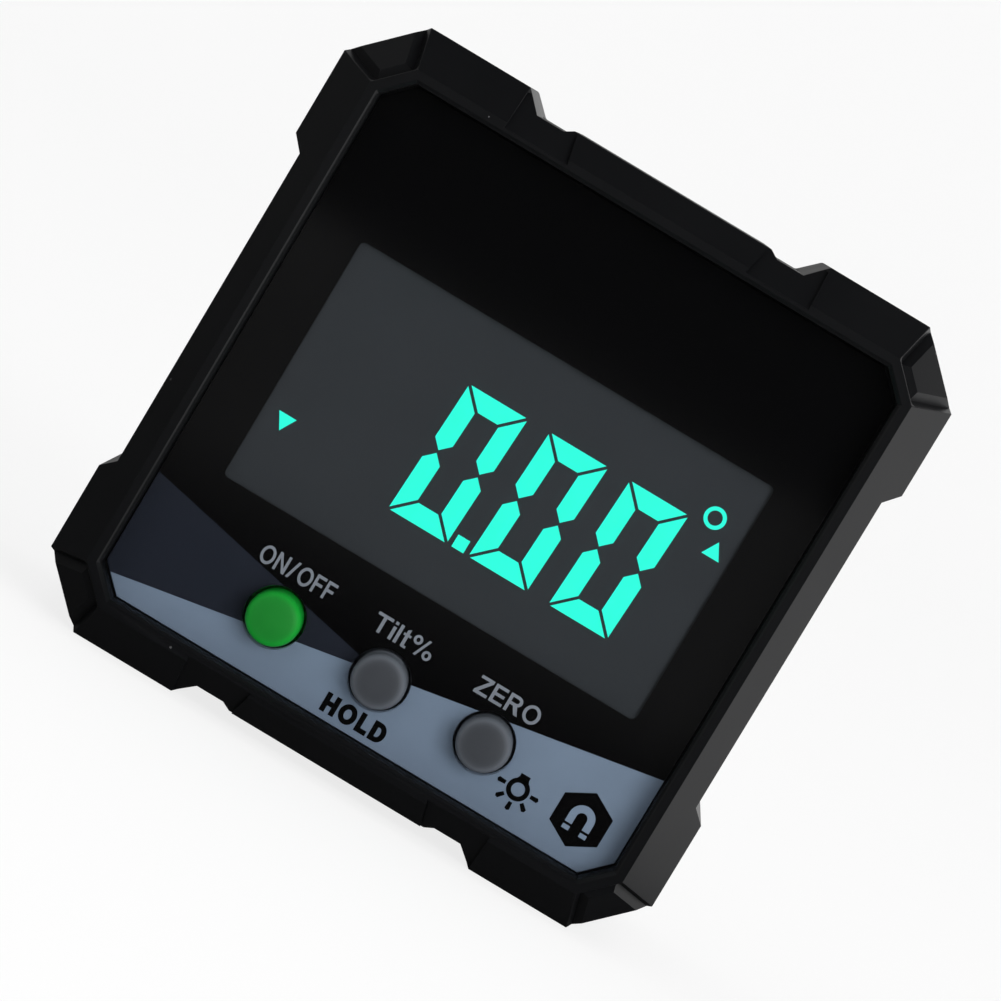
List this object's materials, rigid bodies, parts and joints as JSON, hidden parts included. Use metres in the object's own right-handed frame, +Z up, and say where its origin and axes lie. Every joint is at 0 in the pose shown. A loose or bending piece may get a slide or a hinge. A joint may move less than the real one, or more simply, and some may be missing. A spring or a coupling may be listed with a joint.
{
  "type": "digital angle gauge",
  "caption": "Pocket digital angle gauge: square black case with magnetic feet, lit cyan display, printed lens, push buttons and a battery door at the back.",
  "frame": {"origin": "middle of the case's footprint on the lower feet's plane", "axes": "+Z up from the lower feet, -Y out of the display face, +X to the reader's right"},
  "size_m": [0.06, 0.031, 0.06],
  "materials": {
    "case_black": "fine satin texture",
    "lens_clear": "clear gloss",
    "print_black": "gloss print",
    "print_band": "gloss print",
    "print_wedge": "gloss print",
    "tape_black": "foam tape",
    "display_dark": "dark polariser",
    "display_lit": "lit segments",
    "frame_white": "satin",
    "guide_clear": "clear gloss",
    "lamp_pale": "gloss",
    "strip_rubber": "striped rubber",
    "board_green": "solder resist",
    "chip_black": "moulded",
    "component_tan": "fired",
    "button_green": "satin rubber",
    "button_grey": "satin rubber",
    "magnet_nickel": "nickel plate",
    "battery_jacket": "printed sleeve",
    "contact_nickel": "nickel plate",
    "screw_black": "blackened",
    "screw_steel": "zinc plate"
  },
  "bodies": {
    "case": {"front_case": "case_black", "rear_cover": "case_black", "lens": "lens_clear", "face_print": "print_black", "band_print": "print_band", "wedge_print": "print_wedge", "lens_tape": "tape_black", "lcd_cell": "display_dark", "lcd_segments": "display_lit", "lcd_frame": "frame_white", "backlight_guide": "guide_clear", "backlight_lamps": "lamp_pale", "contact_strips": "strip_rubber", "main_board": "board_green", "controller_chip": "chip_black", "tilt_sensor": "chip_black", "board_components": "component_tan", "switch_bodies": "chip_black", "foot_magnets": "magnet_nickel", "batteries": "battery_jacket", "cell_contacts": "contact_nickel", "bridge_contact": "contact_nickel", "case_screws": "screw_black", "board_screws": "screw_steel"},
    "power_key": {"power_button": "button_green", "power_plunger": "chip_black"},
    "hold_key": {"hold_button": "button_grey", "hold_plunger": "chip_black"},
    "zero_key": {"zero_button": "button_grey", "zero_plunger": "chip_black"},
    "door": {"battery_door": "case_black"}
  },
  "joints": [
    {"name": "power_press", "type": "slide", "parent": "case", "child": "power_key", "axis": [0, 1, 0], "range_m": [0, 0.0005], "stiffness_N_per_m": 2000},
    {"name": "hold_press", "type": "slide", "parent": "case", "child": "hold_key", "axis": [0, 1, 0], "range_m": [0, 0.0005], "stiffness_N_per_m": 2000},
    {"name": "zero_press", "type": "slide", "parent": "case", "child": "zero_key", "axis": [0, 1, 0], "range_m": [0, 0.0005], "stiffness_N_per_m": 2000},
    {"name": "door_lift", "type": "slide", "parent": "case", "child": "door", "axis": [0, 1, 0], "range_m": [0, 0.02]}
  ]
}
